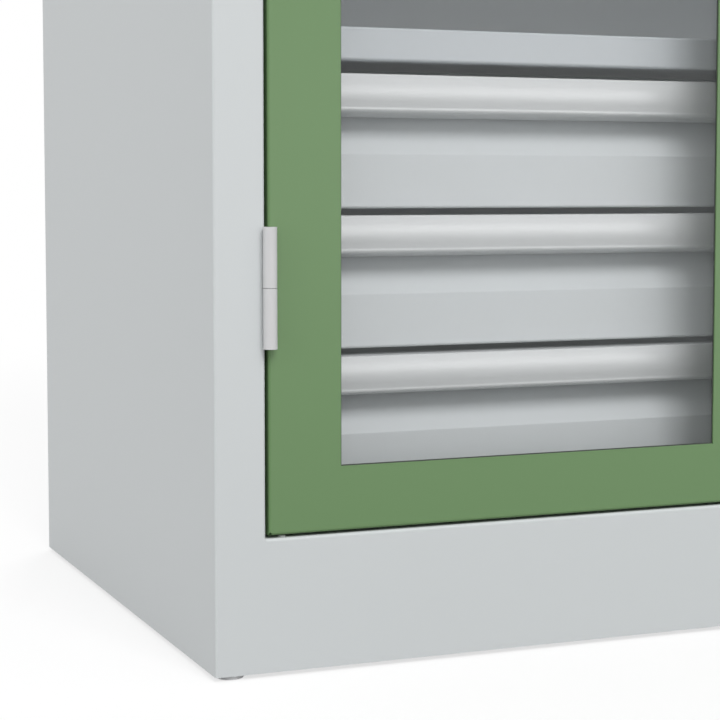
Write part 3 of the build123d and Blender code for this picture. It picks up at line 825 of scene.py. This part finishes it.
@dataclass
class Door:
    """Folded green leaf with a clear pane, its seal, glazing beads, screws and hinge barrels.

    The screw's rings are shares of its head's radius and height, from the crown outwards and down.
    """

    shop: Workshop
    hand: Hand
    pane_edge: float = 0.3 * MM
    pane_overlap: float = 12.0 * MM
    seal_width: float = 0.8 * MM
    seal_rise: float = 0.3 * MM
    bead_edge: float = 0.3 * MM
    barrel_edge: float = 0.15 * MM
    barrel_turn: float = math.radians(65.0)
    pin_edge: float = 0.2 * MM
    screw_sides: int = 24
    screw_head: float = 1.8 * MM
    screw_rings: Sequence[Pair] = (
        (0.62, 0.0),
        (0.86, -0.14),
        (0.97, -0.40),
        (1.0, -0.75),
        (1.0, -1.0),
    )
    shank_share: float = 0.5
    recess_reach: float = 0.42
    recess_half_width: float = 0.13
    recess_depth: float = 0.6

    def build(self) -> None:
        """Dress the leaf, pane, beads and hinges, and make the seal and screws."""
        side = self.hand.value
        self.shop.dress(f"{side}_door_leaf", DOOR_GREEN)
        self.shop.dress(f"{side}_window_pane", CLEAR_PANE, self.pane_edge)
        self.shop.dress(f"{side}_glazing_beads", BEAD_GREY, self.bead_edge)
        self.shop.dress(f"{side}_door_knuckles", HINGE_GREY, self.barrel_edge, self.barrel_turn)
        self.shop.dress(f"{side}_frame_knuckles", HINGE_GREY, self.barrel_edge, self.barrel_turn)
        self.shop.dress(f"{side}_hinge_pins", ZINC, self.pin_edge)
        self._seal()
        self._screws()

    def _seal(self) -> None:
        """Run a thin dark seal round the pane, just inside the window's edge."""
        low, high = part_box(f"{self.hand.value}_window_pane")
        left, right = low.x + self.pane_overlap, high.x - self.pane_overlap
        bottom, top = low.z + self.pane_overlap, high.z - self.pane_overlap
        mesh = bmesh.new()
        corners = [
            mesh.verts.new((x, low.y, z))
            for x, z in ((left, bottom), (right, bottom), (right, top), (left, top))
        ]
        glass = mesh.faces.new(corners)
        glass.normal_update()
        bmesh.ops.inset_region(
            mesh, faces=[glass], thickness=self.seal_width, use_boundary=True, use_even_offset=True
        )
        bmesh.ops.delete(mesh, geom=[glass], context="FACES_ONLY")
        ring = bmesh.ops.extrude_face_region(mesh, geom=mesh.faces[:])["geom"]
        raised = [item for item in ring if isinstance(item, bmesh.types.BMVert)]
        bmesh.ops.translate(mesh, verts=raised, vec=(0.0, -self.seal_rise, 0.0))
        bmesh.ops.recalc_face_normals(mesh, faces=mesh.faces)
        self.shop.piece(f"{self.hand.value}_pane_seal", mesh, SEAL_BLACK, self.hand.door)

    def _screws(self) -> None:
        """Replace the plain bead screws by pan heads with a cross recess."""
        node = f"{self.hand.value}_bead_screws"
        mesh = bmesh.new()
        for low, high in self.shop.islands(node):
            self._screw(mesh, low, high)
        bmesh.ops.recalc_face_normals(mesh, faces=mesh.faces)
        self.shop.piece(f"{self.hand.value}_cross_head_screws", mesh, ZINC, self.hand.door, [node])

    def _screw(self, mesh: bmesh.types.BMesh, low: Vector, high: Vector) -> None:
        """Add one screw whose head faces the inside of the cabinet.

        Args:
            mesh: The mesh that it is added to.
            low: Lowest corner of the solid screw.
            high: Highest corner of the solid screw.
        """
        known = set(mesh.verts)
        radius = (high.x - low.x) / 2
        crown = radius * self.screw_rings[0][0]
        outline = [mesh.verts.new((x * radius, y * radius, 0.0)) for x, y in self._cross()]
        recess = mesh.faces.new(outline)
        circle = bmesh.ops.create_circle(mesh, segments=self.screw_sides, radius=crown)["verts"]
        ring = list(dict.fromkeys(edge for vert in circle for edge in vert.link_edges))
        bmesh.ops.bridge_loops(mesh, edges=ring + list(recess.edges))
        floor = bmesh.ops.extrude_face_region(mesh, geom=[recess])["geom"]
        sunk = [item for item in floor if isinstance(item, bmesh.types.BMVert)]
        bmesh.ops.delete(mesh, geom=[recess], context="FACES_ONLY")
        bmesh.ops.translate(mesh, verts=sunk, vec=(0.0, 0.0, -self.recess_depth * self.screw_head))
        for (inner, rise), (outer, drop) in zip(self.screw_rings, self.screw_rings[1:]):
            ring = self._flare(mesh, ring, outer / inner, (drop - rise) * self.screw_head)
        shank = (high.y - low.y) - self.screw_head
        ring = self._flare(mesh, ring, self.shank_share, 0.0)
        ring = self._flare(mesh, ring, 1.0, -shank)
        bmesh.ops.contextual_create(mesh, geom=ring)
        made = [vert for vert in mesh.verts if vert not in known]
        middle = Vector(((low.x + high.x) / 2, high.y, (low.z + high.z) / 2))
        turn = Matrix.Translation(middle) @ Matrix.Rotation(-QUARTER_TURN, 4, "X")
        bmesh.ops.transform(mesh, matrix=turn, verts=made)

    def _cross(self) -> list[Pair]:
        """Draw the cross recess.

        Returns:
            Its outline, as shares of the head's radius.
        """
        reach, half = self.recess_reach, self.recess_half_width
        arm = [(reach, -half), (reach, half), (half, half)]
        return [
            (x * math.cos(turn) - y * math.sin(turn), x * math.sin(turn) + y * math.cos(turn))
            for turn in (quarter * QUARTER_TURN for quarter in range(4))
            for x, y in arm
        ]

    @staticmethod
    def _flare(
        mesh: bmesh.types.BMesh, ring: Sequence[bmesh.types.BMEdge], spread: float, rise: float
    ) -> list[bmesh.types.BMEdge]:
        """Extrude a ring of edges to the next ring.

        Args:
            mesh: The mesh that holds the ring.
            ring: Its edges.
            spread: Factor on the ring's radius.
            rise: Step along the axis.

        Returns:
            The new ring's edges.
        """
        made = bmesh.ops.extrude_edge_only(mesh, edges=list(ring))["geom"]
        verts = [item for item in made if isinstance(item, bmesh.types.BMVert)]
        bmesh.ops.scale(mesh, vec=(spread, spread, 1.0), verts=verts)
        bmesh.ops.translate(mesh, verts=verts, vec=(0.0, 0.0, rise))
        chosen = set(verts)
        edges = [item for item in made if isinstance(item, bmesh.types.BMEdge)]
        return [edge for edge in edges if set(edge.verts) <= chosen]


@dataclass
class FrameFittings:
    """Small fittings on the frame: rest buttons under the doors and magnetic catches."""

    shop: Workshop
    catch_edge: float = 0.8 * MM

    def build(self) -> None:
        """Dress the buttons and catches."""
        self.shop.dress("door_rest_buttons", FOOT_GREY)
        self.shop.dress("magnetic_catches", LOCK_BLACK, self.catch_edge)


@dataclass
class RodLock:
    """Handle with key plug on the right door, and the cam, rods and guides behind it."""

    shop: Workshop
    plastic_parts: Sequence[str] = ("lock_escutcheon", "lock_handle")
    steel_parts: Sequence[str] = ("lock_cam", "upper_lock_rod", "lower_lock_rod", "rod_guides")
    steel_edge: float = 0.3 * MM
    plug_edge: float = 0.25 * MM

    def build(self) -> None:
        """Dress the lock's pieces."""
        for node in self.plastic_parts:
            self.shop.dress(node, LOCK_BLACK)
        for node in self.steel_parts:
            self.shop.dress(node, ZINC, self.steel_edge)
        self.shop.dress("lock_cylinder", NICKEL, self.plug_edge)


@dataclass
class Softbox:
    """A large soft lamp, or one that only puts a sheen on painted and moulded surfaces."""

    name: str
    place: Vector
    target: Vector
    size: Pair
    power: float
    sheen_only: bool = False

    def build(self) -> None:
        """Hang the lamp and aim it."""
        data = bpy.data.lights.new(self.name, "AREA")
        data.shape = "RECTANGLE"
        data.size, data.size_y = self.size
        data.energy = self.power
        lamp = add_object(self.name, data)
        lamp.location = self.place
        lamp.rotation_euler = (self.target - self.place).to_track_quat("-Z", "Y").to_euler()
        lamp.visible_camera = False
        lamp.visible_diffuse = not self.sheen_only
        if self.sheen_only:
            self._spare_metal(lamp)

    def _spare_metal(self, lamp: bpy.types.Object) -> None:
        """Keep the lamp off plated pieces, which would mirror it as a burnt patch.

        Args:
            lamp: The lamp, hung after all the pieces are made.
        """
        plated = {finish.name for finish in (ZINC, NICKEL)}
        spared = bpy.data.collections.new(f"{self.name}_spares")
        for piece in bpy.context.scene.objects:
            if piece.type == "MESH" and plated & {material.name for material in piece.data.materials}:
                spared.objects.link(piece)
        for entry in spared.collection_objects:
            entry.light_linking.link_state = "EXCLUDE"
        lamp.light_linking.receiver_collection = spared


@dataclass
class Studio:
    """Camera at the photograph's viewpoint, soft lamps, pale floor and white surroundings."""

    eye_from_corner: tuple[float, float, float] = (-0.3761, -1.1760, 0.3283)
    yaw: float = math.radians(22.232)
    tilt: float = math.radians(4.165)
    lens: float = 93.2
    shift: float = -0.05
    view_reach: float = 100.0
    sky_light: float = 0.64
    floor_size: float = 24.0
    floor_grey: float = 0.38
    floor_shown: float = 0.95
    shadow_share: float = 0.3
    shadow_reach: float = 1.3

    def build(self) -> None:
        """Set up everything around the cabinet."""
        bpy.context.scene.view_settings.view_transform = "Standard"
        self._camera()
        self._world()
        self._floor()
        for lamp in self._lamps():
            lamp.build()

    def _camera(self) -> None:
        """Put the camera in front of the lower left corner."""
        corner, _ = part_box("left_side_panel")
        data = bpy.data.cameras.new("viewpoint")
        data.lens = self.lens
        data.shift_y = self.shift
        data.clip_end = self.view_reach
        camera = add_object("viewpoint", data)
        camera.location = corner + Vector(self.eye_from_corner)
        camera.rotation_euler = (QUARTER_TURN - self.tilt, 0.0, -self.yaw)
        bpy.context.scene.camera = camera

    @staticmethod
    def _lamps() -> list[Softbox]:
        """Choose the lamps.

        Returns:
            One high in front, one at the left, one behind at the right, and one for the sheen alone.
        """
        corner = Vector((-0.2, -0.2, 0.5))
        inside = Vector((0.0, 0.3, 0.9))
        return [
            Softbox("high_front_softbox", Vector((-0.35, -7.4, 7.7)), corner, (4.8, 4.8), power=590.0),
            Softbox("left_softbox", Vector((-3.2, -0.6, 1.4)), corner, (2.0, 2.0), power=20.0),
            Softbox("rear_softbox", Vector((3.8, 6.1, 3.7)), inside, (4.0, 4.0), power=240.0),
            Softbox(
                "sheen_softbox", Vector((0.7, -2.8, 0.35)), corner, (3.6, 1.3), power=72.0, sheen_only=True
            ),
        ]

    @staticmethod
    def _seen(graph: Graph) -> Value:
        """Mask the rays that show the background itself: seen directly, mirrored or through clear sheet.

        Args:
            graph: The tree that the mask is for.

        Returns:
            1 for those rays and 0 for the rest.
        """
        direct, mirrored, through = (
            graph.node("ShaderNodeLightPath", output=name)
            for name in ("Is Camera Ray", "Is Glossy Ray", "Is Transmission Ray")
        )
        return direct | mirrored | through

    def _world(self) -> None:
        """White surroundings to look at, and a plain sky that lights the cabinet."""
        world = bpy.data.worlds.new("white_studio")
        bpy.context.scene.world = world
        world.use_nodes = True
        graph = Graph(world.node_tree)
        sky, white = (
            graph.node("ShaderNodeBackground", None, {"Color": grey(1.0), "Strength": strength})
            for strength in (self.sky_light, 1.0)
        )
        graph.output(graph.blend(self._seen(graph), sky, white), "ShaderNodeOutputWorld")

    def _floor(self) -> None:
        """Pale floor that keeps a soft shadow near the cabinet and fades to white further out."""
        mesh = bmesh.new()
        bmesh.ops.create_grid(mesh, x_segments=1, y_segments=1, size=self.floor_size / 2)
        data = bpy.data.meshes.new("studio_floor")
        mesh.to_mesh(data)
        mesh.free()
        data.materials.append(self._floor_material())
        floor = add_object("studio_floor", data)

    def _floor_material(self) -> bpy.types.Material:
        """Make the floor's material.

        Returns:
            A matt surface for light, and for the eye a white one that darkens only in the shadow.
        """
        made = bpy.data.materials.new("pale_floor")
        made.use_nodes = True
        graph = Graph(made.node_tree)
        matt, pale = (
            graph.node("ShaderNodeBsdfDiffuse", None, {"Color": grey(level)})
            for level in (self.floor_grey, self.floor_shown)
        )
        white = graph.node("ShaderNodeEmission", None, {"Strength": 1.0})
        reach = graph.node("ShaderNodeVectorMath", {"operation": "LENGTH"}, {0: graph.place()}, "Value")
        near = self.shadow_reach / self.floor_size
        stops = {"stops": [(near, self.shadow_share), (2.0 * near, 0.0)]}
        share = graph.node("ShaderNodeValToRGB", stops, {"Fac": reach * (1.0 / self.floor_size)})
        shown = graph.blend(share, white, pale)
        graph.output(graph.blend(self._seen(graph), matt, shown))
        return made


def main() -> None:
    """Build the cabinet's looks and the studio round it."""
    logging.basicConfig(level=logging.INFO, format="%(name)s: %(message)s")
    shop = Workshop()
    assemblies = [
        Carcass(shop),
        LevellingFeet(shop),
        Shelving(shop),
        DrawerStack(shop),
        Door(shop, Hand.LEFT),
        Door(shop, Hand.RIGHT),
        FrameFittings(shop),
        RodLock(shop),
    ]
    for assembly in assemblies:
        assembly.build()
    Studio().build()


if __name__ == "__main__":
    main()
